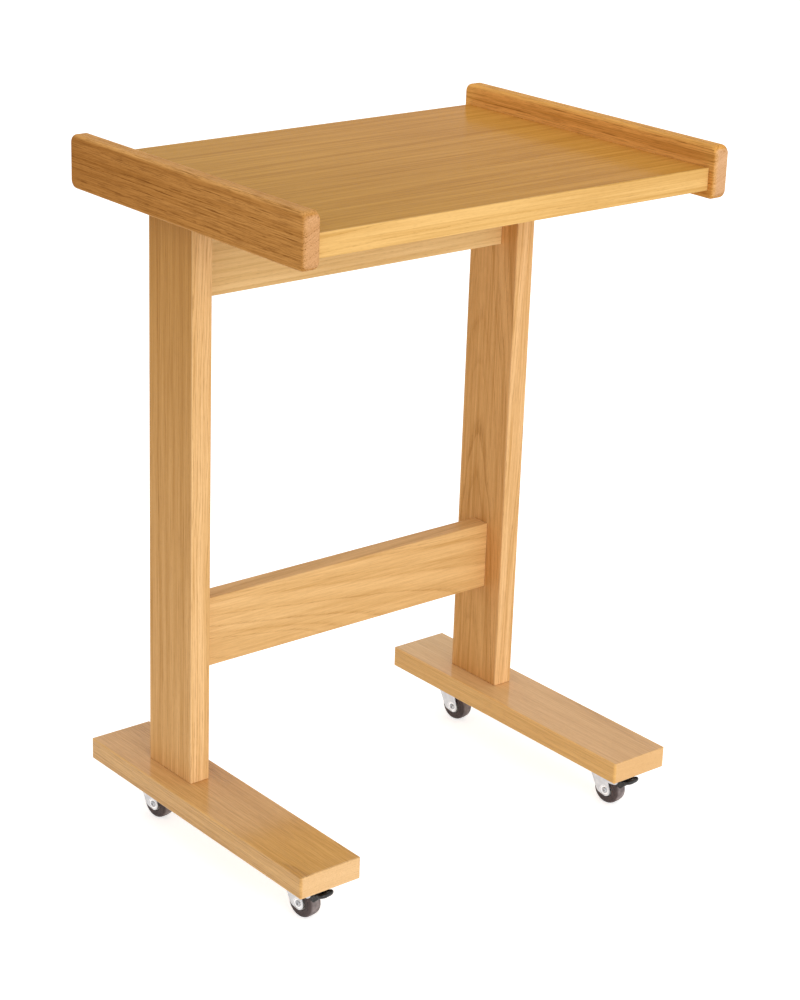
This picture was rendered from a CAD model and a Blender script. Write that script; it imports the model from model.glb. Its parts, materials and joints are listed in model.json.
# %% [markdown]
# # A side table on casters
# The real table stands over a chair or a bed. It is made of oak boards: a top between two end
# rails, two posts set towards the back, an apron and a stretcher between them, and two feet on
# small swivel casters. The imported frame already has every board, bore and fastening at its true
# size, so this script adds the finishes, finer metal and plastic pieces, the light and the camera.

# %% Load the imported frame
import json
import math
import bmesh
import bpy
from mathutils import Matrix, Vector

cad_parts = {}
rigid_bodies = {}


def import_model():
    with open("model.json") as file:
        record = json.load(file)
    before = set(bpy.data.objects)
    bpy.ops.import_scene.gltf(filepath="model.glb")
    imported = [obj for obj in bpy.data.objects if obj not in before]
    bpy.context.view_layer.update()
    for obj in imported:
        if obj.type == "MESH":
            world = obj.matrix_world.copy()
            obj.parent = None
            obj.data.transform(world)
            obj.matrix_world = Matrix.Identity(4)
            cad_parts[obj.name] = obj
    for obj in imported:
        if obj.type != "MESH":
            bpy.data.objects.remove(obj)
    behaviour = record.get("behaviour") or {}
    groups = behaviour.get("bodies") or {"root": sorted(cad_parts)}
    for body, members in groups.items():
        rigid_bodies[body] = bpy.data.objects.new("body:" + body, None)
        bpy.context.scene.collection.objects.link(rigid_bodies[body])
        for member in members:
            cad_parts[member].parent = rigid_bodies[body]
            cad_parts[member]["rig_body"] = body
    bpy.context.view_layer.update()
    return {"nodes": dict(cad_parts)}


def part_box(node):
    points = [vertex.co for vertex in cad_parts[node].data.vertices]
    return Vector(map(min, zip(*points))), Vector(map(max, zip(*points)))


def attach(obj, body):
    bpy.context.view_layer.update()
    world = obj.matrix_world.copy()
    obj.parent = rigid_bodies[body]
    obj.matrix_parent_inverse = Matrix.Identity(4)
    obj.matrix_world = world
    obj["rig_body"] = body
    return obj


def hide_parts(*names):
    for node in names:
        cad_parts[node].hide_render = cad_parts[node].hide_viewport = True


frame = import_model()
nodes = frame["nodes"]

# %% [markdown]
# ## Camera
# The photograph was taken from the front left, a little above the top board, with a long lens.
# Its place was found by matching the corners of the boards. A camera looks along its own -Z, so
# its matrix is built from three directions: right, up and back. The small roll is the tilt of the
# photographer's camera, and the small shift is how far the picture was cropped off centre.

# %% Set the camera at the photograph's viewpoint
def placed(name, data):
    """Links a mesh, a lamp or a camera as an object at the origin."""
    data.name = name
    thing = bpy.data.objects.new(name, data)
    bpy.context.scene.collection.objects.link(thing)
    return thing


IMAGE_W, IMAGE_H = 800, 1000
FOCAL_PX = 2424.26
CENTRE_PX = (360.0, 498.23)
EYE = Vector((-1.62457, -1.95775, 1.33808))
YAW, PITCH, ROLL = (math.radians(a) for a in (38.9365, 20.5680, 1.7052))

ahead = Vector((math.sin(YAW) * math.cos(PITCH), math.cos(YAW) * math.cos(PITCH), -math.sin(PITCH)))
level = Vector((math.cos(YAW), -math.sin(YAW), 0))
upright = level.cross(ahead)
right = level * math.cos(ROLL) + upright * math.sin(ROLL)
up = upright * math.cos(ROLL) - level * math.sin(ROLL)

camera_data = bpy.data.cameras.new("camera")
camera_data.sensor_width = 36
camera_data.lens = FOCAL_PX * camera_data.sensor_width / IMAGE_H
camera_data.shift_x = (IMAGE_W / 2 - CENTRE_PX[0]) / IMAGE_H
camera_data.shift_y = (CENTRE_PX[1] - IMAGE_H / 2) / IMAGE_H
camera = placed("camera", camera_data)
camera.matrix_world = Matrix.Translation(EYE) @ Matrix((right, up, -ahead)).transposed().to_4x4()
bpy.context.scene.camera = camera
print("camera lens", round(camera_data.lens, 2), "mm, shift", round(camera_data.shift_x, 4))

# %% [markdown]
# ## Nodes in a few words
# Every finish here is a small tree of nodes. These helpers keep the trees readable: one puts in a
# node and feeds its sockets with links or plain values, and the rest are the nodes used most: a
# sum, a remapped range, a mix of two colours, and noise that is long along the grain of the wood
# and short across it.

# %% Helpers for node trees
def feed(tree, socket, value):
    """Links value when it is a socket, and sets it when it is a number, a colour or a vector."""
    if isinstance(value, bpy.types.NodeSocket):
        tree.links.new(value, socket)
    else:
        socket.default_value = value


def put(tree, kind, fed=(), **settings):
    """A new node, a shader node if kind doesn't say. fed pairs its inputs with what they take."""
    node = tree.nodes.new(kind if "Node" in kind else f"ShaderNode{kind}")
    for label, value in settings.items():
        setattr(node, label, value)
    for socket, value in dict(fed).items():
        feed(tree, node.inputs[socket], value)
    return node


def maths(tree, operation, *values):
    """The result of one Math node."""
    return put(tree, "Math", enumerate(values), operation=operation).outputs[0]


def product(tree, *values):
    """All the values multiplied together."""
    result = values[0]
    for value in values[1:]:
        result = maths(tree, "MULTIPLY", result, value)
    return result


def vector_maths(tree, operation, *values):
    """The vector from one Vector Math node."""
    return put(tree, "VectorMath", enumerate(values), operation=operation).outputs[0]


def split(tree, vector):
    """The three parts of a vector."""
    return put(tree, "SeparateXYZ", {0: vector}).outputs


def hypotenuse(tree, a, b):
    """The length of a vector with two parts."""
    return maths(tree, "SQRT", maths(tree, "MULTIPLY_ADD", a, a, product(tree, b, b)))


def ranged(tree, value, low, high, to_low=0.0, to_high=1.0, smooth=True):
    """Remaps low..high to to_low..to_high, held at both ends."""
    fed = {"Value": value, "From Min": low, "From Max": high, "To Min": to_low, "To Max": to_high}
    kind = "SMOOTHSTEP" if smooth else "LINEAR"
    return put(tree, "MapRange", fed, interpolation_type=kind).outputs[0]


def between(tree, value, start, full, fade, end):
    """1 from full to fade, and 0 before start and after end."""
    return product(tree, ranged(tree, value, start, full), ranged(tree, value, end, fade))


def noise(tree, place, across, along, detail=2.0, shift=0.0):
    """Noise with so many features a metre across and along Z; gives its value and its colour."""
    mapping = put(tree, "Mapping", {"Location": (shift, shift * 1.7, shift * 0.6),
                                    "Scale": (across, across, along), "Vector": place})
    fed = {"Scale": 1.0, "Detail": detail, "Vector": mapping.outputs[0]}
    return put(tree, "TexNoise", fed).outputs[:2]


def noise_line(tree, value, features, detail=0.0, shift=0.0):
    """Noise along one number, with so many features for each unit of it."""
    fed = {"Scale": 1.0, "Detail": detail, "W": maths(tree, "MULTIPLY_ADD", value, features, shift)}
    return put(tree, "TexNoise", fed, noise_dimensions="1D").outputs[0]


def mixed(tree, factor, first, second):
    """Mixes two colours; gives the result."""
    fed = {"Factor": factor, 6: first, 7: second}
    return put(tree, "Mix", fed, data_type="RGBA").outputs[2]


def tone(red, green, blue):
    """A screen colour, 0 to 255, as the linear colour that a shader takes."""
    def linear(c):
        return c / 12.92 if c <= 0.04045 else ((c + 0.055) / 1.055) ** 2.4
    return tuple(linear(c / 255) for c in (red, green, blue)) + (1.0,)


def add_sockets(tree, side, kind, labels):
    """Gives a node group named inputs or outputs of one kind."""
    for label in labels:
        tree.interface.new_socket(label, in_out=side, socket_type=f"NodeSocket{kind}")


def bare_tree(owner):
    """The emptied node tree of a material or a world."""
    owner.use_nodes = True
    owner.node_tree.nodes.clear()
    return owner.node_tree


def new_finish(name):
    """A material, its tree and its object coordinates."""
    material = bpy.data.materials.new(name)
    tree = bare_tree(material)
    return material, tree, put(tree, "TexCoord").outputs["Object"]


def end_finish(tree, colour, rough, height, strength, depth, fixed):
    """The surface: colour, roughness, a bump with its depth in metres, and fixed inputs."""
    bump = put(tree, "Bump", {"Strength": strength, "Distance": depth, "Height": height})
    shader = put(tree, "BsdfPrincipled", {"Base Color": colour, "Roughness": rough,
                                          "Normal": bump.outputs[0], **fixed})
    put(tree, "OutputMaterial", {"Surface": shader.outputs[0]})


print("node helpers ready")

# %% [markdown]
# ## The figure of oak
# A tree grows in rings round its pith, and a board is a flat cut through those rings. So the
# figure is made in space, not painted on each face: the distance from a leaning pith line,
# counted in rings, gives straight lines on one face, arches on the next and arcs on the end
# grain, and they meet at the edges as they do in a real board. Rings differ from year to year,
# so a line of noise along that distance alone makes them wide or narrow, dark or faint. Oak is
# ring porous: each ring starts with a row of large vessels, seen as short dashes along the grain.

# %% A node group that gives the figure at any point of a board
NOISE_MIDDLE, QUICK_SHARE = (0.5, 0.5, 0.5), (0.16, 0.16, 0.16)


def oak_figure():
    """Place is measured from the board's middle with the grain along Z. Shift picks the plank."""
    tree = bpy.data.node_groups.new("oak figure", "ShaderNodeTree")
    add_sockets(tree, "INPUT", "Vector", ["Place", "Shift"])
    add_sockets(tree, "INPUT", "Float",
                ["Pith U", "Pith V", "Lean U", "Lean V", "Ring Width", "Wander"])
    add_sockets(tree, "OUTPUT", "Float",
                ["Rings", "Bands", "Streaks", "Soft", "Clouds", "Dashes", "Pores"])
    given = put(tree, "NodeGroupInput").outputs
    result = put(tree, "NodeGroupOutput").inputs
    plank = vector_maths(tree, "ADD", given["Place"], given["Shift"])

    # The growth wanders slowly along the trunk, and a little more quickly over each hand's width
    slow = vector_maths(tree, "SUBTRACT", noise(tree, plank, 6, 1.8, 1)[1], NOISE_MIDDLE)
    quick = vector_maths(tree, "SUBTRACT", noise(tree, plank, 45, 9, 2, 4.0)[1], NOISE_MIDDLE)
    drift = vector_maths(tree, "MULTIPLY_ADD", quick, QUICK_SHARE, slow)
    reach = put(tree, "VectorMath", {0: drift, "Scale": given["Wander"]}, operation="SCALE")
    moved = split(tree, vector_maths(tree, "ADD", given["Place"], reach.outputs[0]))

    # Distance from the leaning pith
    def off_pith(across, pith, lean):
        line = maths(tree, "MULTIPLY_ADD", moved[2], given[lean], given[pith])
        return maths(tree, "SUBTRACT", moved[across], line)
    distance = hypotenuse(tree, off_pith(0, "Pith U", "Lean U"), off_pith(1, "Pith V", "Lean V"))

    # Count the rings. Each year has its own width, and its own depth of colour
    even = maths(tree, "DIVIDE", distance, given["Ring Width"])
    count = maths(tree, "MULTIPLY_ADD", noise_line(tree, distance, 60, 1, 3.7), 3.5, even)
    year = put(tree, "TexWhiteNoise", {"W": maths(tree, "FLOOR", count)},
               noise_dimensions="1D").outputs[0]
    part = maths(tree, "FRACT", count)
    rings = product(tree, ranged(tree, part, 0.0, 0.55, 1.0, 0.0), ranged(tree, part, 0.0, 0.10),
                    ranged(tree, year, 0.0, 1.0, 0.15, 1.0))

    dashes = ranged(tree, noise(tree, plank, 1050, 34, 2, 2.0)[0], 0.47, 0.62)
    pores = ranged(tree, noise(tree, plank, 2000, 120, 1, 6.0)[0], 0.52, 0.68)
    porous = ranged(tree, rings, 0.0, 0.7, 0.4, 1.0)
    seen = {"Rings": rings,
            "Bands": noise_line(tree, distance, 120, 2, 21.0),
            "Streaks": noise(tree, plank, 520, 7, 4, 11.0)[0],
            "Soft": noise(tree, plank, 170, 4.5, 4, 17.0)[0],
            "Clouds": noise(tree, plank, 12, 1.6, 2, 14.0)[0],
            "Dashes": product(tree, dashes, porous),
            "Pores": product(tree, pores, porous)}
    for label, value in seen.items():
        tree.links.new(value, result[label])
    return tree


OAK_FIGURE = oak_figure()
print("oak figure has", len(OAK_FIGURE.nodes), "nodes")

# %% [markdown]
# ## One finish for each board
# The boards were sawn from different planks, so each has its own pith, ring width and hue. Its
# tone at a point lies between a pale and a deep shade of that hue: rings, bands, streaks and
# slow clouds each push it one way or the other, and the dashes of the vessels darken it again.
# The varnish is a thin satin film. Edges that hands and cloths rub are a little paler. An edge
# is where two of a point's three distances to the faces of its board are near zero, so the
# middle one of the three tells how far off it is. End grain is calmer, because there the vessels
# are only dots and the streaks are cut across.

# %% A function that makes the oak finish of one board
AXES = "XYZ"
GRAIN_LAST = {"X": (1, 2, 0), "Y": (0, 2, 1), "Z": (0, 1, 2)}
# How the pale and deep shades, rubbed edges and vessels differ from a board's hue
PALE, DEEP = (1.15, 1.20, 1.32), (0.84, 0.78, 0.66)
RUBBED, VESSEL = (1.35, 1.5, 1.7), (0.42, 0.33, 0.24)
# How deep in the wood a face's own hue starts to fade, and where it ends
SKIN, BELOW_SKIN = 0.0007, 0.0035


def shaded(hue, scales):
    """A screen colour made linear, with each channel scaled and held to 1."""
    return tuple(min(1.0, c * k) for c, k in zip(tone(*hue), scales)) + (1.0,)


def weighed(tree, start, *terms):
    """start plus weight times how far each value is from its middle, held between 0 and 1."""
    total = start - sum(middle * weight for _, middle, weight in terms)
    for value, _, weight in terms:
        total = maths(tree, "MULTIPLY_ADD", value, weight, total)
    return ranged(tree, total, 0.0, 1.0, smooth=False)


def oak_finish(name, grain, pith, lean, ring, wander, hue, rings=0.45, bands=1.0, streaks=1.1,
               soft=0.4, clouds=0.8, dashes=0.4, pores=0.3, rubbed=0.2, rub_width=0.002,
               far_hue=None, face_hues=None, end_calm=0.35, sheen=0.3, gloss=0.04, seed=0.0):
    """Oak with its grain along an axis. pith is (U, V) in metres from the board's middle.

    far_hue is the hue at the far end of the grain. face_hues gives the faces square to an axis
    a hue of their own. end_calm is how much of the figure shows on end grain.
    """
    material, tree, coordinates = new_finish(f"{name}_oak")
    low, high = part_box(name)
    middle, half = (low + high) / 2, (high - low) / 2
    parts = split(tree, vector_maths(tree, "SUBTRACT", coordinates, tuple(middle)))
    turned_parts = {k: parts[axis] for k, axis in enumerate(GRAIN_LAST[grain])}
    seen = put(tree, "Group", {
        "Place": put(tree, "CombineXYZ", turned_parts).outputs[0],
        "Shift": (seed * 0.37, seed * 0.61, seed), "Pith U": pith[0], "Pith V": pith[1],
        "Lean U": lean[0], "Lean V": lean[1], "Ring Width": ring, "Wander": wander,
    }, node_tree=OAK_FIGURE).outputs

    along = AXES.index(grain)
    distances = [maths(tree, "SUBTRACT", half[k], maths(tree, "ABSOLUTE", part))
                 for k, part in enumerate(parts)]
    open_here = ranged(tree, distances[along], 0.0, SKIN, end_calm, 1.0)
    figured = weighed(tree, 0.5, (seen["Rings"], 0.2, rings), (seen["Bands"], 0.5, bands),
                      (seen["Streaks"], 0.5, streaks), (seen["Soft"], 0.5, soft),
                      (seen["Clouds"], 0.5, clouds))
    tone_here = maths(tree, "MULTIPLY_ADD", maths(tree, "SUBTRACT", figured, 0.5), open_here, 0.5)

    def oak_tones(base):
        return mixed(tree, tone_here, shaded(base, PALE), shaded(base, DEEP))

    colour = oak_tones(hue)
    if far_hue:
        far = ranged(tree, parts[along], -half[along], half[along], smooth=False)
        colour = mixed(tree, far, colour, oak_tones(far_hue))
    for axis, face_hue in (face_hues or {}).items():
        on_face = ranged(tree, distances[AXES.index(axis)], BELOW_SKIN, SKIN)
        colour = mixed(tree, on_face, colour, oak_tones(face_hue))

    def over_distances(operation):
        return maths(tree, operation, maths(tree, operation, *distances[:2]), distances[2])
    off_edge = maths(tree, "SUBTRACT", maths(tree, "SUBTRACT", over_distances("ADD"),
                                             over_distances("MAXIMUM")), over_distances("MINIMUM"))
    worn = product(tree, ranged(tree, off_edge, rub_width, 0.0, 0.0, rubbed),
                   ranged(tree, seen["Clouds"], 0.3, 0.6, 0.5, 1.0))
    colour = mixed(tree, worn, colour, shaded(hue, RUBBED))
    for label, share in (("Dashes", dashes), ("Pores", pores)):
        amount = product(tree, seen[label], share, open_here)
        colour = mixed(tree, amount, colour, shaded(hue, VESSEL))

    open_grain = maths(tree, "MULTIPLY_ADD", seen["Dashes"], 0.5, seen["Pores"])
    open_grain = product(tree, open_grain, open_here)
    end_finish(tree, colour, ranged(tree, open_grain, 0.0, 1.0, sheen, sheen + 0.2),
               maths(tree, "SUBTRACT", 1.0, open_grain), 0.3, 0.0001, {"Specular IOR Level": gloss})
    return material


print("oak finish ready")

# %% [markdown]
# ## Setting out the boards
# The table below is the cutting list: which way the grain runs in each board, where its pith
# lay, and what hue it has. A pith far to the side gives straight lines. One close behind a
# face that leans towards it gives arches, as on the stretcher and the right post. The two end
# rails are redder, with more open pores, and their edges are rounded over and rubbed pale.

# %% Give every board its own oak
CUTTING_LIST = {
    "tabletop": dict(
        grain="X", pith=(-0.30, -0.22), lean=(0.015, 0.02), ring=0.0040, wander=0.030,
        hue=(194, 142, 57), far_hue=(207, 147, 67), face_hues={"Y": (225, 179, 109)},
        rings=0.3, bands=0.9, streaks=1.5, soft=1.4, clouds=0.5, dashes=0.15, sheen=0.14,
        gloss=0.006, seed=1.3),
    "left_end_rail": dict(
        grain="Y", pith=(0.25, -0.5), lean=(0.02, 0.01), ring=0.0030, wander=0.010,
        hue=(196, 137, 71), far_hue=(178, 119, 57),
        face_hues={"Y": (209, 157, 106), "Z": (216, 160, 94)},
        end_calm=0.6, streaks=1.8, dashes=1.0, pores=0.7, rubbed=0.6, rub_width=0.005,
        gloss=0.003, seed=2.1),
    "right_end_rail": dict(
        grain="Y", pith=(-0.2, 0.4), lean=(0.03, 0.02), ring=0.0030, wander=0.012,
        hue=(221, 159, 81), face_hues={"Y": (214, 167, 122)},
        end_calm=0.4, streaks=2.1, bands=1.5, soft=1.1, clouds=1.4, dashes=0.9, pores=0.5,
        rubbed=0.5, rub_width=0.005, gloss=0.003, seed=5.4),
    "left_post": dict(
        grain="Z", pith=(0.10, 0.12), lean=(0.012, 0.01), ring=0.0026, wander=0.030,
        hue=(226, 175, 112), far_hue=(190, 136, 68), face_hues={"Y": (229, 184, 126)},
        streaks=1.9, dashes=0.35, seed=7.7),
    "right_post": dict(
        grain="Z", pith=(0.075, 0.01), lean=(0.045, 0.0), ring=0.0036, wander=0.026,
        hue=(214, 159, 94), far_hue=(218, 165, 101), face_hues={"Y": (226, 179, 121)},
        rings=0.6, bands=1.6, streaks=1.8, soft=0.9, dashes=0.35, seed=9.2),
    "apron": dict(
        grain="X", pith=(0.3, 0.5), lean=(0.01, 0.01), ring=0.0042, wander=0.012,
        hue=(227, 189, 130), dashes=0.15, rings=0.15, bands=0.9, streaks=0.7, soft=1.1,
        seed=12.6),
    "stretcher": dict(
        grain="X", pith=(0.07, -0.05), lean=(0.09, 0.0), ring=0.0056, wander=0.020,
        hue=(223, 179, 119), far_hue=(214, 167, 106), dashes=0.3, rings=0.3, bands=0.9,
        soft=0.9, seed=15.8),
    "left_foot": dict(
        grain="Y", pith=(0.02, -0.5), lean=(0.015, 0.01), ring=0.0030, wander=0.014,
        hue=(213, 163, 93), far_hue=(218, 170, 112),
        face_hues={"Y": (232, 189, 133), "X": (221, 171, 103)},
        rings=0.3, bands=0.8, streaks=1.6, dashes=0.5, sheen=0.12, gloss=0.25, seed=18.3),
    "right_foot": dict(
        grain="Y", pith=(-0.02, -0.55), lean=(0.02, 0.01), ring=0.0032, wander=0.014,
        hue=(222, 175, 117), far_hue=(229, 188, 132),
        face_hues={"Y": (225, 178, 118), "X": (230, 178, 102)},
        rings=0.2, bands=0.6, streaks=1.1, soft=0.7, dashes=0.3, sheen=0.12, gloss=0.25,
        seed=21.9),
}
for board, cut in CUTTING_LIST.items():
    finish = oak_finish(board, **cut)
    for slot in nodes[board].material_slots:
        slot.material = finish
print("boards finished:", ", ".join(CUTTING_LIST))

# %% [markdown]
# ## Metal, plastic and rubber
# The casters are pressed steel with a zinc coat, which is bright but slightly cloudy, with faint
# rolling marks. Pins and screws are plain bright steel. The brake pedals are black moulded
# plastic with a fine grain, the wheel cores are grey plastic, and the tyres are a warm, very
# dark rubber that picks up pale dust.

# %% Finishes of the casters and fastenings
GRIME = tone(58, 56, 58)
RIM_BRIGHT, EDGE_BRIGHT = (0.86, 0.86, 0.87, 1), (0.93, 0.93, 0.94, 1)
# Where the marks round a rivet start, are full, fade and end, as distances from the rivet's
# middle, and the same for a leg's cut edge, as distances from the caster's middle plane
GROOVE, RIM = (0.0047, 0.0055, 0.0057, 0.0060), (0.0057, 0.0060, 0.0062, 0.0070)
CUT_EDGE = (0.00965, 0.0098, 0.0110, 0.01115)
SEAT_R, SEAT_END = 0.0040, 0.0046
LEG_FROM, EDGE_TOP = 0.009, 0.026


def metal_finish(name, colour, cloudy, rough, marks, painted=None):
    """Metal with cloudy patches and fine marks. rough is its lowest and highest roughness."""
    material, tree, place = new_finish(name)
    patches = noise(tree, place, 160, 160, 3)[0]
    fine = noise(tree, place, 2600, 500, 2, 3.0)[0]
    face = mixed(tree, ranged(tree, patches, 0.35, 0.65), tone(*colour), tone(*cloudy))
    if painted:
        face = painted(tree, place, face)
    dirt = put(tree, "Attribute", attribute_name="grime").outputs["Fac"]
    wear = maths(tree, "ADD", product(tree, patches, 0.6), product(tree, fine, 0.4))
    end_finish(tree, mixed(tree, dirt, face, GRIME), ranged(tree, wear, 0.35, 0.65, *rough),
               fine, marks, 0.00003, {"Metallic": 1.0})
    return material


def plastic_finish(name, colour, worn, rough, grain, level=0.45, dusty=None):
    """Moulded plastic or rubber with a fine grain. dusty is its colour where it meets the floor."""
    material, tree, place = new_finish(name)
    patches = noise(tree, place, 120, 120, 3)[0]
    fine = noise(tree, place, 3200, 3200, 2, 5.0)[0]
    face = mixed(tree, ranged(tree, patches, 0.4, 0.75), tone(*colour), tone(*worn))
    if dusty:
        tread = put(tree, "Attribute", attribute_name="tread").outputs["Fac"]
        settled = product(tree, tread, ranged(tree, patches, 0.3, 0.7, 0.4, 1.0))
        face = mixed(tree, settled, face, tone(*dusty))
    end_finish(tree, face, ranged(tree, fine, 0.3, 0.7, *rough), fine, grain, 0.00005,
               {"Specular IOR Level": level})
    return material


def leg_marks(middle, turn):
    """What a pressed leg shows: a dark groove and a bright ring round its rivet, a bright edge."""
    def paint(tree, place, face):
        from_axle = vector_maths(tree, "SUBTRACT", place, tuple(middle))
        local = put(tree, "VectorRotate", {"Angle": -turn, "Vector": from_axle},
                    rotation_type="Z_AXIS")
        part = split(tree, local.outputs[0])
        side = maths(tree, "ABSOLUTE", part[0])
        off = hypotenuse(tree, part[1], part[2])
        on_leg = maths(tree, "GREATER_THAN", side, LEG_FROM)
        face = mixed(tree, product(tree, between(tree, off, *RIM), on_leg), face, RIM_BRIGHT)
        seat = product(tree, ranged(tree, off, SEAT_END, SEAT_R), 0.6)
        dark = maths(tree, "MAXIMUM", between(tree, off, *GROOVE), seat)
        face = mixed(tree, product(tree, dark, on_leg, 0.5), face, GRIME)
        below = maths(tree, "LESS_THAN", part[2], EDGE_TOP)
        return mixed(tree, product(tree, between(tree, side, *CUT_EDGE), below), face, EDGE_BRIGHT)
    return paint


def beech_finish():
    """Pale dowel wood. Its flecks follow no one axis, because the dowels lie both ways."""
    material, tree, place = new_finish("dowel_beech")
    flecks = ranged(tree, noise(tree, place, 900, 900, 2)[0], 0.55, 0.68)
    slow = noise(tree, place, 60, 60, 2, 2.0)[0]
    wood = mixed(tree, ranged(tree, slow, 0.35, 0.65), tone(226, 196, 156), tone(212, 178, 134))
    wood = mixed(tree, product(tree, flecks, 0.5), wood, tone(176, 132, 90))
    end_finish(tree, wood, ranged(tree, slow, 0.3, 0.7, 0.6, 0.75), flecks, 0.2, 0.0001, {})
    return material


FINISH_OF = {
    "zinc": metal_finish("bright_zinc", (206, 207, 209), (186, 187, 190), (0.26, 0.42), 0.2),
    "steel": metal_finish("bright_steel", (190, 191, 194), (168, 169, 172), (0.18, 0.32), 0.15),
    "black_plastic": plastic_finish("black_moulding", (22, 22, 23), (34, 33, 33), (0.34, 0.5), 0.35),
    "grey_plastic": plastic_finish("grey_moulding", (196, 194, 189), (178, 176, 170),
                                   (0.38, 0.5), 0.2),
    "tyre_rubber": plastic_finish("dark_rubber", (70, 58, 57), (84, 70, 68), (0.5, 0.7), 0.4,
                                  0.35, (150, 138, 136)),
    "beech": beech_finish(),
}
for name, node in nodes.items():
    for slot in node.material_slots:
        if name not in CUTTING_LIST:
            slot.material = FINISH_OF[slot.material.name.split(".")[0]]

POST_X, FRONT_Y, REAR_Y = 0.2265, -0.135, 0.143
CASTERS = {"front_left": (-POST_X, FRONT_Y), "front_right": (POST_X, FRONT_Y),
           "rear_left": (-POST_X, REAR_Y), "rear_right": (POST_X, REAR_Y)}
CASTER_TURN = math.radians(8)
AXLE, BRAKE_PIN = Vector((0, -0.016, 0.018)), Vector((0, -0.0285, 0.037))


def caster_frame(corner, point=Vector((0, 0, 0))):
    """The frame of a caster, moved to a point of it."""
    x, y = CASTERS[corner]
    turn = Matrix.Rotation(CASTER_TURN, 4, "Z")
    return Matrix.Translation((x, y, 0)) @ turn @ Matrix.Translation(point)


FORK_ZINC = {}
for corner in CASTERS:
    marks = leg_marks(caster_frame(corner, AXLE).translation, CASTER_TURN)
    FORK_ZINC[corner] = metal_finish(f"{corner}_zinc", (208, 209, 211), (196, 197, 200),
                                     (0.28, 0.40), 0.2, marks)
print("finishes:", ", ".join(sorted(m.name for m in FINISH_OF.values())))

# %% [markdown]
# ## Pieces that follow a rule
# Screws, dowels and balls repeat at even steps, and a tyre is one profile carried round a circle.
# Geometry Nodes suit both, because the rule stays readable: every size is a named input of the
# tree. A tree runs once on an empty carrier mesh, and its result is kept as a plain mesh.

# %% Helpers for geometry trees and meshes
def geometry_tree(name, **inputs):
    """A tree with inputs listed by kind; gives the tree, its inputs and its output socket."""
    tree = bpy.data.node_groups.new(name, "GeometryNodeTree")
    for kind, labels in inputs.items():
        add_sockets(tree, "INPUT", kind, labels)
    add_sockets(tree, "OUTPUT", "Geometry", ["Geometry"])
    return tree, put(tree, "NodeGroupInput").outputs, put(tree, "NodeGroupOutput").inputs[0]


def step(tree, kind, **values):
    """One geometry node with those inputs; gives its first output."""
    fed = {label.replace("_", " "): value for label, value in values.items()}
    return put(tree, f"GeometryNode{kind}", fed).outputs[0]


def end_tree(tree, geometry, finish, result):
    """Makes every copy real and gives the whole its finish."""
    whole = step(tree, "RealizeInstances", Geometry=geometry)
    tree.links.new(step(tree, "SetMaterial", Geometry=whole, Material=finish), result)


def evaluated_mesh(piece):
    """What the modifiers of a piece make of it, as a plain mesh."""
    graph = bpy.context.evaluated_depsgraph_get()
    return bpy.data.meshes.new_from_object(piece.evaluated_get(graph))


def grown(tree, **values):
    """Runs a tree with those inputs on an empty mesh, and gives its result as a plain mesh."""
    carrier = placed("carrier", bpy.data.meshes.new("carrier"))
    modifier = carrier.modifiers.new(tree.name, "NODES")
    modifier.node_group = tree
    for item in tree.interface.items_tree:
        if item.in_out == "INPUT":
            modifier[item.identifier] = values[item.name.replace(" ", "_")]
    mesh = evaluated_mesh(carrier)
    bpy.data.objects.remove(carrier)
    return mesh


def mesh_of(shape, name, lay=Matrix.Identity(4)):
    """Ends a closed bmesh: its faces turned outwards, laid in a frame, kept as a mesh."""
    bmesh.ops.recalc_face_normals(shape, faces=shape.faces)
    shape.transform(lay)
    mesh = bpy.data.meshes.new(name)
    shape.to_mesh(mesh)
    shape.free()
    return mesh


def skinned(name, rows, middles=None, lay=Matrix.Identity(4)):
    """A closed mesh through rows of points. middles are theirs, if known, for the ends' fans."""
    shape = bmesh.new()
    made = [[shape.verts.new(point) for point in row] for row in rows]
    for first, second in zip(made, made[1:]):
        for k in range(len(first)):
            n = (k + 1) % len(first)
            shape.faces.new((first[k], first[n], second[n], second[k]))
    for end in (0, -1):
        row = made[end]
        middle = middles[end] if middles else sum((v.co for v in row), Vector()) / len(row)
        centre = shape.verts.new(middle)
        for k in range(len(row)):
            shape.faces.new((row[k], row[(k + 1) % len(row)], centre))
    return mesh_of(shape, name, lay)


def smoothed(mesh, sharp_from, finish=None):
    """Shades a mesh smooth between its edges of so many degrees, and gives it a finish."""
    if finish:
        mesh.materials.append(finish)
    mesh.shade_smooth()
    mesh.set_sharp_from_angle(angle=math.radians(sharp_from))
    return mesh


def cut_by(piece, cutter, crossing=False):
    """The mesh of a piece less a cutter, which is used up. crossing: the cutter crosses itself."""
    cut = piece.modifiers.new("cut", "BOOLEAN")
    cut.operation, cut.object, cut.solver, cut.use_self = "DIFFERENCE", cutter, "EXACT", crossing
    mesh = evaluated_mesh(piece)
    piece.modifiers.clear()
    bpy.data.objects.remove(cutter)
    return mesh


def stand_in(name, mesh, node):
    """Puts a mesh in the place of a node, on the same body and with a slot of the record."""
    piece = placed(name, mesh)
    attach(piece, nodes[node]["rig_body"])
    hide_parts(node)
    print(name, "stands for", node, "with", len(mesh.polygons), "faces")


print("geometry helpers ready")

# %% [markdown]
# ## One screw and one dowel
# A wood screw is turned, so it is a stack of rings about one axis. Its thread is a ridge that
# climbs by one pitch in each turn: every point asks how far it lies along that ridge. The cross
# in the head is cut with a Boolean. A dowel has flutes for the glue, so every other point of its
# rings lies a little deeper.

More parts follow.
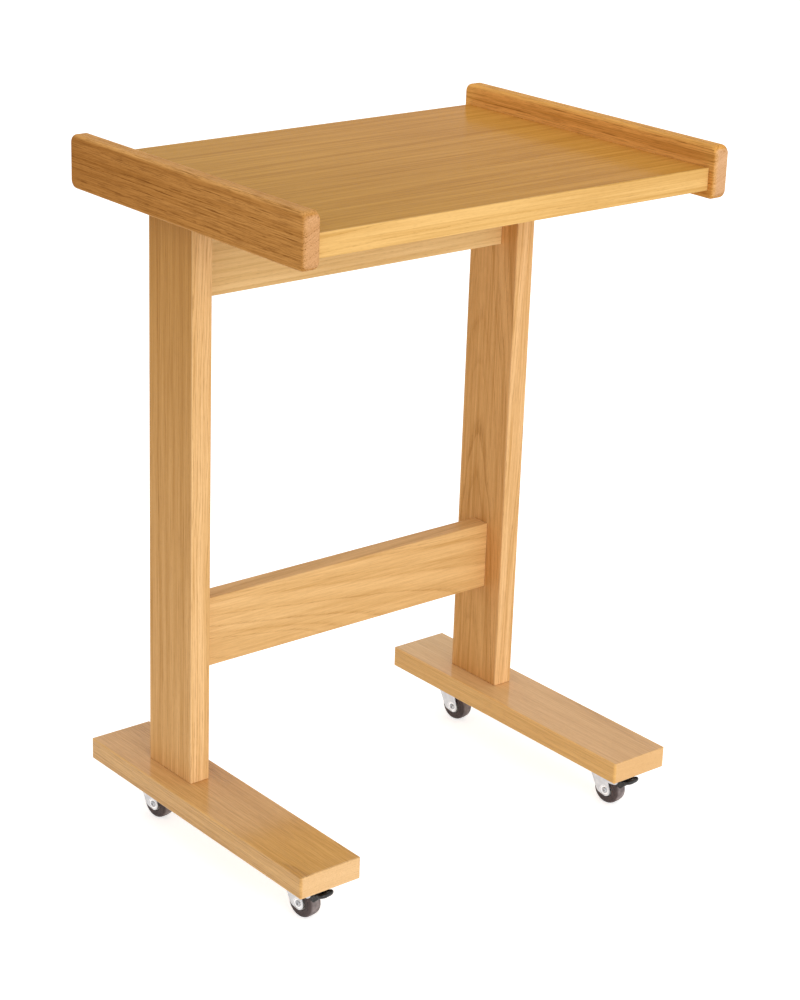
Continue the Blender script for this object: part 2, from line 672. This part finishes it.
# %% Templates for screws and dowels
TIP_R = 0.0004
DOWEL_R, CHAMFER, FLUTE = 0.004, 0.001, 0.00025
FLUSH_HEAD = [(0.0048, 0.0), (0.0048, 0.0003), (0.0026, 0.0023)]
PAN_HEAD = [(0.0020, -0.0017), (0.0027, -0.00145), (0.0032, -0.0009), (0.0033, -0.0003),
            (0.0033, 0.0)]
ALONG_X = Matrix.Rotation(math.radians(90), 4, "Y")


def ringed_mesh(name, rings, count, radius_at, lay=Matrix.Identity(4)):
    """Rings (radius, height) about Z, closed at both ends. radius_at(radius, turn, height)."""
    rows = []
    for radius, height in rings:
        points = [(radius_at(radius, k / count, height), math.tau * k / count) for k in range(count)]
        rows.append([(r * math.cos(a), r * math.sin(a), height) for r, a in points])
    return skinned(name, rows, [(0, 0, height) for _, height in rings], lay)


def screw_part(name, head, shank_r, length, thread_from, pitch):
    """A screw that points up. head lists rings (radius, height) from its face to the shank."""
    depth = shank_r * 0.22
    cone = length - 2 * shank_r
    rings = list(head) + [(shank_r, thread_from)]
    height = thread_from
    while height < length - 0.0006:
        height = min(height + pitch / 6, length)
        taper = max(0.0, (height - cone) / (length - cone))
        rings.append((shank_r + (TIP_R - shank_r) * taper, height))

    def threaded(radius, turn, height):
        if height <= thread_from + pitch / 12 or radius > shank_r:
            return radius
        climb = (height / pitch - turn) % 1.0
        ridge = max(0.0, 1 - abs(climb - 0.5) * 4)
        return radius - min(depth, radius * 0.4) * (1 - ridge)

    screw = placed(name, ringed_mesh(name, rings, 24, threaded))
    arm, deep = head[0][0] * 0.62, shank_r * 0.9
    blades = bmesh.new()
    for size in ((arm, arm * 0.26), (arm * 0.26, arm)):
        for vertex in bmesh.ops.create_cube(blades, size=1.0)["verts"]:
            narrowed = 2 * (0.55 if vertex.co.z > 0 else 1.0)
            vertex.co = (vertex.co.x * size[0] * narrowed, vertex.co.y * size[1] * narrowed,
                         head[0][1] + (deep if vertex.co.z > 0 else -0.001))
    cross = placed("cross_cutter", mesh_of(blades, "cross_cutter"))
    screw.data = smoothed(cut_by(screw, cross, crossing=True), 35)
    return screw


def dowel_part(name, length, lay=Matrix.Identity(4)):
    """A fluted dowel with chamfered ends, centred, along Z before it is laid."""
    def fluted(radius, turn, height):
        return radius - (FLUTE if round(turn * 48) % 2 else 0.0)

    half = length / 2
    rings = [(DOWEL_R - CHAMFER, -half), (DOWEL_R, CHAMFER - half),
             (DOWEL_R, half - CHAMFER), (DOWEL_R - CHAMFER, half)]
    return placed(name, ringed_mesh(name, rings, 48, fluted, lay))


templates = {
    "caster_screw": screw_part("caster_screw", PAN_HEAD, 0.00175, 0.017, 0.0022, 0.0014),
    "post_screw": screw_part("post_screw", FLUSH_HEAD, 0.0025, 0.070, 0.027, 0.0024),
    "tabletop_screw": screw_part("tabletop_screw", FLUSH_HEAD, 0.0025, 0.055, 0.020, 0.0024),
    "rail_dowel": dowel_part("rail_dowel", 0.032, ALONG_X),
    "cross_dowel": dowel_part("cross_dowel", 0.037, ALONG_X),
    "upright_dowel": dowel_part("upright_dowel", 0.037),
}
print("templates:", {name: len(part.data.polygons) for name, part in templates.items()})

# %% [markdown]
# ## Setting out the fastenings
# A joiner sets out holes by stepping off distances: so many steps one way, so many the next. The
# tree does the same with lines of points laid on lines of points, then puts one copy of the
# template on each point and turns it by a chance amount, because no two screws end up alike.

# %% The setting out tree and the fastenings
def set_out_tree():
    """Copies of one part at the crossings of up to four rows of steps."""
    tree, given, result = geometry_tree(
        "set out", Object=["Part"], Vector=["Start", "Step 1", "Step 2", "Step 3", "Step 4", "Axis"],
        Int=["Count 1", "Count 2", "Count 3", "Count 4", "Seed"], Material=["Finish"])
    places = step(tree, "MeshLine", Count=given["Count 1"], Start_Location=given["Start"],
                  Offset=given["Step 1"])
    for k in (2, 3, 4):
        row = step(tree, "MeshLine", Count=given[f"Count {k}"], Offset=given[f"Step {k}"])
        rows = step(tree, "InstanceOnPoints", Points=places, Instance=row)
        places = step(tree, "RealizeInstances", Geometry=rows)
    chance = put(tree, "FunctionNodeRandomValue", {3: math.tau, "Seed": given["Seed"]})
    turned_by = put(tree, "FunctionNodeAxisAngleToRotation",
                    {"Axis": given["Axis"], "Angle": chance.outputs[1]}).outputs[0]
    part = put(tree, "GeometryNodeObjectInfo", {"Object": given["Part"]}).outputs["Geometry"]
    copies = step(tree, "InstanceOnPoints", Points=places, Instance=part, Rotation=turned_by)
    end_tree(tree, copies, given["Finish"], result)
    return tree


SET_OUT = set_out_tree()
X_AXIS, Z_AXIS = (1.0, 0.0, 0.0), (0.0, 0.0, 1.0)
BETWEEN_POSTS, PAIR_IN_POST = (2, (2 * POST_X, 0, 0)), (2, (0, 0.042, 0))
CROSS_ENDS, NO_STEP = (2, (0.425, 0, 0)), (1, (0, 0, 0))
# Name, node, template, first place, up to four rows of steps, axis, seed
FASTENINGS = [
    ("caster_screw_set", "caster_screws", "caster_screw", (-0.242, -0.1505, 0.052),
     [(2, (0.031, 0, 0)), (2, (0, 0.031, 0)), BETWEEN_POSTS, (2, (0, 0.278, 0))], Z_AXIS, 3),
    ("post_screw_set", "post_screws", "post_screw", (-POST_X, 0.0635, 0.054),
     [PAIR_IN_POST, BETWEEN_POSTS], Z_AXIS, 5),
    ("top_screw_set", "tabletop_screws", "tabletop_screw", (-0.150, 0.0835, 0.705),
     [(3, (0.150, 0, 0))], Z_AXIS, 8),
    ("rail_dowel_set", "rail_dowels", "rail_dowel", (-0.261, -0.150, 0.7555),
     [(4, (0, 0.100, 0)), (2, (0.522, 0, 0))], X_AXIS, 13),
    ("post_dowel_set", "post_top_dowels", "upright_dowel", (-POST_X, 0.0635, 0.7415),
     [PAIR_IN_POST, BETWEEN_POSTS], Z_AXIS, 21),
    ("apron_dowel_set", "apron_dowels", "cross_dowel", (-0.2125, 0.0835, 0.652),
     [(2, (0, 0, 0.071)), CROSS_ENDS], X_AXIS, 34),
    ("stretcher_dowel_set", "stretcher_dowels", "cross_dowel", (-0.2125, 0.0835, 0.223),
     [(2, (0, 0, 0.042)), CROSS_ENDS], X_AXIS, 55),
    ("foot_dowel_set", "foot_dowels", "upright_dowel", (-POST_X, 0.0845, 0.0805),
     [BETWEEN_POSTS], Z_AXIS, 89),
]
for name, node, part, start, steps, axis, seed in FASTENINGS:
    slot = "beech" if "dowel" in part else "steel"
    values = {}
    for k in range(4):
        values[f"Count_{k + 1}"], values[f"Step_{k + 1}"] = steps[k] if k < len(steps) else NO_STEP
    group = grown(SET_OUT, Part=templates[part], Start=start, Axis=axis, Seed=seed,
                  Finish=FINISH_OF[slot], **values)
    stand_in(name, group, node)
for part in templates.values():
    bpy.data.objects.remove(part)

# %% [markdown]
# ## Tyres and ball races
# A tyre is a rounded profile carried round a circle. Its tread is slightly domed, so the points
# of the profile that lie far from the middle are drawn in. The tree also writes down how near
# each point is to the tread, and the rubber uses that to gather dust there. A race is a ring of
# balls between the plate and the crown of the fork.

# %% The tyre tree and the race tree
DUST_DEEP = 0.0014


def tyre_tree():
    """A domed profile round a circle about Z, then turned and moved to its axle."""
    tree, given, result = geometry_tree(
        "tyre", Float=["Outer Radius", "Inner Radius", "Width", "Shoulder", "Dome Radius"],
        Vector=["Turn", "Centre"], Material=["Finish"])
    wall = maths(tree, "SUBTRACT", given["Outer Radius"], given["Inner Radius"])
    middle = product(tree, maths(tree, "ADD", given["Outer Radius"], given["Inner Radius"]), 0.5)
    box = step(tree, "CurvePrimitiveQuadrilateral", Width=wall, Height=given["Width"])
    spot = split(tree, step(tree, "InputPosition"))
    outer = maths(tree, "GREATER_THAN", spot[0], 0.0)
    radius = maths(tree, "MAXIMUM", product(tree, outer, given["Shoulder"]), 0.0003)
    rounded = put(tree, "GeometryNodeFilletCurve", {"Curve": box, "Count": 7, "Radius": radius,
                                                    "Limit Radius": True}, mode="POLY")
    rounded = step(tree, "ResampleCurve", Curve=rounded.outputs[0], Count=72)
    drop = maths(tree, "DIVIDE", product(tree, spot[1], spot[1]),
                 product(tree, given["Dome Radius"], 2.0))
    drawn_in = product(tree, drop, -1.0, outer)
    domed = step(tree, "SetPosition", Geometry=rounded,
                 Offset=put(tree, "CombineXYZ", {0: drawn_in}).outputs[0])
    ring = step(tree, "CurvePrimitiveCircle", Radius=middle, Resolution=96)
    swept = step(tree, "CurveToMesh", Curve=ring, Profile_Curve=domed)
    across = vector_maths(tree, "MULTIPLY", step(tree, "InputPosition"), (1, 1, 0))
    reach = put(tree, "VectorMath", {0: across}, operation="LENGTH").outputs["Value"]
    near = maths(tree, "DIVIDE", maths(tree, "SUBTRACT", given["Outer Radius"], reach), DUST_DEEP)
    tread = maths(tree, "MAXIMUM", maths(tree, "SUBTRACT", 1.0, near), 0.0)
    noted = step(tree, "StoreNamedAttribute", Geometry=swept, Name="tread", Value=tread)
    laid = step(tree, "Transform", Geometry=noted, Translation=given["Centre"],
                Rotation=given["Turn"])
    smooth = step(tree, "SetShadeSmooth", Geometry=laid)
    end_tree(tree, smooth, given["Finish"], result)
    return tree


def race_tree():
    """Balls evenly round a circle about an upright axis."""
    tree, given, result = geometry_tree("ball race", Int=["Balls"], Vector=["Centre"],
                                        Float=["Ring Radius", "Ball Radius"], Material=["Finish"])
    ring = step(tree, "MeshCircle", Vertices=given["Balls"], Radius=given["Ring Radius"])
    ball = step(tree, "MeshUVSphere", Segments=20, Rings=12, Radius=given["Ball Radius"])
    balls = step(tree, "InstanceOnPoints", Points=ring, Instance=ball)
    moved = step(tree, "Transform", Geometry=balls, Translation=given["Centre"])
    whole = step(tree, "RealizeInstances", Geometry=moved)
    smooth = step(tree, "SetShadeSmooth", Geometry=whole)
    end_tree(tree, smooth, given["Finish"], result)
    return tree


TYRE, RACE = tyre_tree(), race_tree()
for corner, (x, y) in CASTERS.items():
    hub = caster_frame(corner, AXLE)
    tyre = grown(TYRE, Outer_Radius=0.018, Inner_Radius=0.0085, Width=0.017, Shoulder=0.0034,
                 Dome_Radius=0.042, Turn=tuple((hub @ ALONG_X).to_euler()),
                 Centre=tuple(hub.translation), Finish=FINISH_OF["tyre_rubber"])
    race = grown(RACE, Balls=14, Ring_Radius=0.0118, Ball_Radius=0.0016,
                 Centre=(x, y, 0.05028), Finish=FINISH_OF["steel"])
    stand_in(f"{corner}_moulded_tyre", tyre, f"{corner}_tyre")
    stand_in(f"{corner}_race_balls", race, f"{corner}_balls")

# %% [markdown]
# ## Turned pieces
# Rivets, kingpins and wheel cores are round, so each is a profile spun about an axis. Real turned
# and moulded pieces have no knife edges: every corner of a profile is eased by a small curve,
# and that is what catches the light. An axle rivet is closed by a punch that leaves a dimple.

# %% A lathe and the pieces from it
EASE_STEPS, SPIN_STEPS = 4, 64


def eased(corners):
    """Replaces each corner (radius, along, ease) of a profile by a short curve."""
    points = []
    for k, (r, a, ease) in enumerate(corners):
        here = Vector((r, a))
        if not ease:
            points.append(here)
            continue
        start, end = (here + way.normalized() * min(ease, way.length * 0.45) for way in (
            Vector(corners[k - 1][:2]) - here, Vector(corners[(k + 1) % len(corners)][:2]) - here))
        for i in range(EASE_STEPS + 1):
            t = i / EASE_STEPS
            points.append(start * (1 - t) ** 2 + here * 2 * t * (1 - t) + end * t * t)
    return points


def turned(name, node, corners, lay, slot, grimy=lambda r, a: 0.0, open_bore=False):
    """Spins a profile about Z and lays it in a frame. grimy gives the dirt at a profile point."""
    shape = bmesh.new()
    dirt = shape.verts.layers.float.new("grime")
    rows = []
    for r, a in eased(corners):
        turns = [0.0] if r < 1e-7 else [math.tau * k / SPIN_STEPS for k in range(SPIN_STEPS)]
        row = [shape.verts.new((r * math.cos(t), r * math.sin(t), a)) for t in turns]
        for vertex in row:
            vertex[dirt] = grimy(r, a)
        rows.append(row)
    pairs = list(zip(rows, rows[1:])) + ([(rows[-1], rows[0])] if open_bore else [])
    for first, second in pairs:
        for k in range(SPIN_STEPS):
            n = (k + 1) % SPIN_STEPS
            ring = (first[k % len(first)], first[n % len(first)],
                    second[n % len(second)], second[k % len(second)])
            corners_here = list(dict.fromkeys(ring))
            if len(corners_here) > 2:
                shape.faces.new(corners_here)
    stand_in(name, smoothed(mesh_of(shape, name, lay), 50, FINISH_OF[slot]), node)


def mirrored(side):
    """A profile from one side, carried on to the other."""
    return side + [(r, -a, ease) for r, a, ease in reversed(side)]


def rivet_profile(shank_r, half, head_r, head_h, dimple_r):
    """One end of a rivet with a punched dimple, then its shank, then the other end."""
    return mirrored([
        (0, half + head_h * 0.45, 0), (dimple_r * 0.7, half + head_h * 0.5, 0.0002),
        (dimple_r, half + head_h * 0.95, 0.0001), (dimple_r * 1.5, half + head_h, 0.0003),
        (head_r * 0.8, half + head_h * 0.62, 0.0006), (head_r, half + head_h * 0.12, 0.0002),
        (head_r, half, 0), (shank_r, half, 0)])


AXLE_HALF, PIN_HALF = 0.0108, 0.0113
AXLE_RIVET = rivet_profile(0.0025, AXLE_HALF, 0.0038, 0.0013, 0.0013)
PIN_RIVET = rivet_profile(0.0015, PIN_HALF, 0.0024, 0.0008, 0.0006)
# The wheel core: a boss that runs on the axle, a thin disc and a rim for the tyre
CORE = mirrored([(0.00256, -0.0092, 0.0003), (0.0052, -0.0092, 0.0004), (0.0052, -0.0045, 0.0003),
                 (0.0069, -0.0045, 0.0003), (0.0069, -0.0075, 0.0003), (0.0085, -0.0075, 0.0003)])
KINGPIN = [(0, 0.04446, 0), (0.0047, 0.04446, 0.0006), (0.0067, 0.04546, 0.0005),
           (0.0067, 0.04646, 0.0002), (0.0040, 0.04646, 0), (0.0040, 0.05086, 0),
           (0.0067, 0.05086, 0.0002), (0.0067, 0.05256, 0.0006), (0, 0.05256, 0)]


def axle_grime(r, a):
    """Dirt in the dimple and round the foot of the axle's two heads."""
    return 0.6 if abs(a) > AXLE_HALF and (r < 0.0012 or r > 0.0037) else 0.0


def pin_grime(r, a):
    """Dirt round the rim of the brake pin's two heads."""
    return float(r > 0.0023)


for corner in CASTERS:
    hub, pin = (caster_frame(corner, point) @ ALONG_X for point in (AXLE, BRAKE_PIN))
    turned(f"{corner}_axle_rivet", f"{corner}_axle", AXLE_RIVET, hub, "steel", axle_grime)
    turned(f"{corner}_moulded_core", f"{corner}_wheel_core", CORE, hub, "grey_plastic",
           open_bore=True)
    turned(f"{corner}_king_rivet", f"{corner}_kingpin", KINGPIN, caster_frame(corner), "steel")
    if corner.startswith("front"):
        turned(f"{corner}_brake_rivet", f"{corner}_brake_pin", PIN_RIVET, pin, "steel", pin_grime)

# %% [markdown]
# ## Pressed and moulded pieces
# The forks and plates are pressed from sheet, and the pedals are moulded. Their shapes are right
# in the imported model, but its edges are sharp. So the forks and plates are copied, their loose
# triangles are joined, flat areas are made whole again, and the edges get a small bevel, as a
# press leaves. A mould leaves softer curves, so the pedal is lofted through rows of points: a
# dished paddle with a rounded hull, and an arm whose shoe is hollowed to the tread.

# %% Dress the forks and plates
PRESSED_EDGE = 0.0003
FLAT, SHARP = math.radians(0.6), math.radians(32)


def dressed(name, node, finish):
    """A bevelled copy of a zinc node, with smooth curves and crisp flats, that stands for it."""
    mesh = nodes[node].data.copy()
    normals = mesh.attributes.get("custom_normal")
    if normals:
        mesh.attributes.remove(normals)
    shape = bmesh.new()
    shape.from_mesh(mesh)
    bmesh.ops.remove_doubles(shape, verts=shape.verts, dist=2e-6)
    bmesh.ops.dissolve_limit(shape, angle_limit=FLAT, verts=shape.verts, edges=shape.edges)
    sharp = [e for e in shape.edges if e.is_manifold and e.calc_face_angle(0) > SHARP]
    bmesh.ops.bevel(shape, geom=sharp, offset=PRESSED_EDGE, segments=2, affect="EDGES", profile=0.5,
                    clamp_overlap=True)
    shape.to_mesh(mesh)
    shape.free()
    mesh.materials.clear()
    stand_in(name, smoothed(mesh, 40, finish), node)


for corner in CASTERS:
    dressed(f"{corner}_pressed_fork", f"{corner}_fork", FORK_ZINC[corner])
    dressed(f"{corner}_swivel_plate", f"{corner}_plate", FINISH_OF["zinc"])

# %% Loft the brake pedals
# Plan as discs (across, forward, radius); side as (millimetres drawn in, millimetres of height)
PADDLE_PLAN = [(-0.0055, -0.0114, 0.003), (0.0055, -0.0114, 0.003),
               (0.004, -0.0163, 0.0065), (-0.004, -0.0163, 0.0065)]
PADDLE_SIDE = [(1.9, -1.5), (1.5, -1.35), (1.2, -0.4), (0.8, 0.0), (0.35, -0.2), (0.0, -0.9),
               (0.0, -2.0), (0.35, -3.2), (1.2, -4.3), (2.8, -5.05), (5.0, -5.2)]
PADDLE_MIDDLE, PADDLE_TOP, PADDLE_HALF_MM = Vector((0, -0.0156)), -0.0034, 8
# The arm as discs (forward, up, radius), and its two ends as (share of its half width, rounding)
ARM_SIDE = [(0, 0, 0.0034), (-0.0048, -0.0081, 0.0041), (-0.017, -0.005, 0.0016)]
ARM_END = [(1, 1), (0.985, 0.5), (0.96, 0.15), (0.93, 0)]
ARM_HALF, ARM_ROUND, PIN_BORE_R, BORE_END = 0.0090, 0.0006, 0.00156, 0.02
DISH_START, DISH_FLOOR = -0.0100, PADDLE_TOP - 0.0016
TREAD_MIDDLE, TREAD_R = Vector((0.01411, -0.01784)), 0.0184
PEDAL_TILT = Matrix.Rotation(math.radians(-20), 4, "X")


def hull_outline(discs, count):
    """The outline round discs (u, v, radius), as points with their outward directions."""
    outline = []
    for k in range(count):
        away = Vector((math.cos(math.tau * k / count), math.sin(math.tau * k / count)))
        u, v, r = max(discs, key=lambda d: d[0] * away.x + d[1] * away.y + d[2])
        point = Vector((u, v)) + away * r
        start = outline[-1][0] if outline else point
        parts = max(1, round((point - start).length / 0.0005))
        outline += [(start.lerp(point, i / parts), away) for i in range(1, parts + 1)]
    return outline


def arm_point(point):
    """Lowers the arm to the floor of the dish, and draws the shoe off the tread."""
    if point.x < DISH_START:
        point = Vector((point.x, min(point.y, DISH_FLOOR)))
    off = point - TREAD_MIDDLE
    return TREAD_MIDDLE + off.normalized() * max(off.length, TREAD_R)


def pedal_mesh(lay):
    """Paddle and bored arm in one mesh, laid in a frame."""
    plan = [p for p, _ in hull_outline(PADDLE_PLAN, 72)]
    paddle_rows = []
    for inset, z in PADDLE_SIDE:
        scaled = [PADDLE_MIDDLE + (p - PADDLE_MIDDLE) * (1 - inset / PADDLE_HALF_MM) for p in plan]
        paddle_rows.append([(p.x, p.y, PADDLE_TOP + z / 1000) for p in scaled])
    side = hull_outline(ARM_SIDE, 96)
    arm_rows = []
    for x, inset in [(-x, inset) for x, inset in ARM_END] + ARM_END[::-1]:
        row = [arm_point(p - away * ARM_ROUND * inset) for p, away in side]
        arm_rows.append([(x * ARM_HALF, p.x, p.y) for p in row])
    arm = placed("arm", skinned("arm", arm_rows))
    bore = ringed_mesh("bore", [(PIN_BORE_R, -BORE_END), (PIN_BORE_R, BORE_END)], 32,
                       lambda radius, turn, height: radius, ALONG_X)
    shape = bmesh.new()
    shape.from_mesh(cut_by(arm, placed("bore", bore)))
    shape.from_mesh(skinned("paddle", paddle_rows))
    bpy.data.objects.remove(arm)
    return smoothed(mesh_of(shape, "pedal", lay), 45, FINISH_OF["black_plastic"])


for corner in ("front_left", "front_right"):
    pedal = pedal_mesh(caster_frame(corner, BRAKE_PIN) @ PEDAL_TILT)
    stand_in(f"{corner}_moulded_pedal", pedal, f"{corner}_brake_pedal")

# %% [markdown]
# ## Floor and light
# A studio sweep is imitated with a wide pale floor and a plain world. The world lights the table
# softly from all round, and only the camera and mirror-like reflections see it as pure white.
# The floor adds a little of its own white for those same rays, so it looks like paper and still
# keeps the soft shadow under the feet. One low, large lamp from the front left gives the
# bright front faces and the quieter sides and top of the photograph.

# %% Build the floor, the world and the lamp
SKY, LAMP, FLOOR_WHITE, FLOOR_HALF = 0.80, 1.35, 0.58, 30
LAMP_TURN, LAMP_RISE, LAMP_SPREAD = math.radians(-8), math.radians(13), math.radians(32)


def looked_at(tree):
    """1 for the camera's own rays and for mirror-like or clear ones, else 0."""
    rays = put(tree, "LightPath").outputs
    indirect = maths(tree, "MAXIMUM", rays["Is Glossy Ray"], rays["Is Transmission Ray"])
    return maths(tree, "MAXIMUM", rays["Is Camera Ray"], indirect)


world = bpy.data.worlds.new("studio")
bpy.context.scene.world = world
sky_tree = bare_tree(world)
strength = ranged(sky_tree, looked_at(sky_tree), 0, 1, SKY, 1.0, smooth=False)
sky = put(sky_tree, "Background", {"Color": (1, 1, 1, 1), "Strength": strength})
put(sky_tree, "OutputWorld", {"Surface": sky.outputs[0]})

lamp_data = bpy.data.lights.new("front_lamp", "SUN")
lamp_data.energy, lamp_data.angle = LAMP, LAMP_SPREAD
lamp = placed("front_lamp", lamp_data)
towards = Vector((math.sin(LAMP_TURN) * math.cos(LAMP_RISE),
                  -math.cos(LAMP_TURN) * math.cos(LAMP_RISE), math.sin(LAMP_RISE)))
lamp.rotation_euler = towards.to_track_quat("Z", "Y").to_euler()

floor_mesh = bpy.data.meshes.new("floor")
corners = [(x * FLOOR_HALF, y * FLOOR_HALF, 0) for x, y in ((-1, -1), (1, -1), (1, 1), (-1, 1))]
floor_mesh.from_pydata(corners, [], [(0, 1, 2, 3)])
floor = placed("floor", floor_mesh)
paper = bpy.data.materials.new("floor_paper")
paper_tree = bare_tree(paper)
glow = product(paper_tree, looked_at(paper_tree), FLOOR_WHITE)
both = put(paper_tree, "AddShader", {
    0: put(paper_tree, "BsdfDiffuse", {"Color": (0.9, 0.9, 0.9, 1)}).outputs[0],
    1: put(paper_tree, "Emission", {"Strength": glow}).outputs[0]})
put(paper_tree, "OutputMaterial", {"Surface": both.outputs[0]})
floor_mesh.materials.append(paper)
bpy.context.scene.view_settings.view_transform = "Standard"
print("floor, world and lamp set; lamp towards", [round(v, 2) for v in towards])
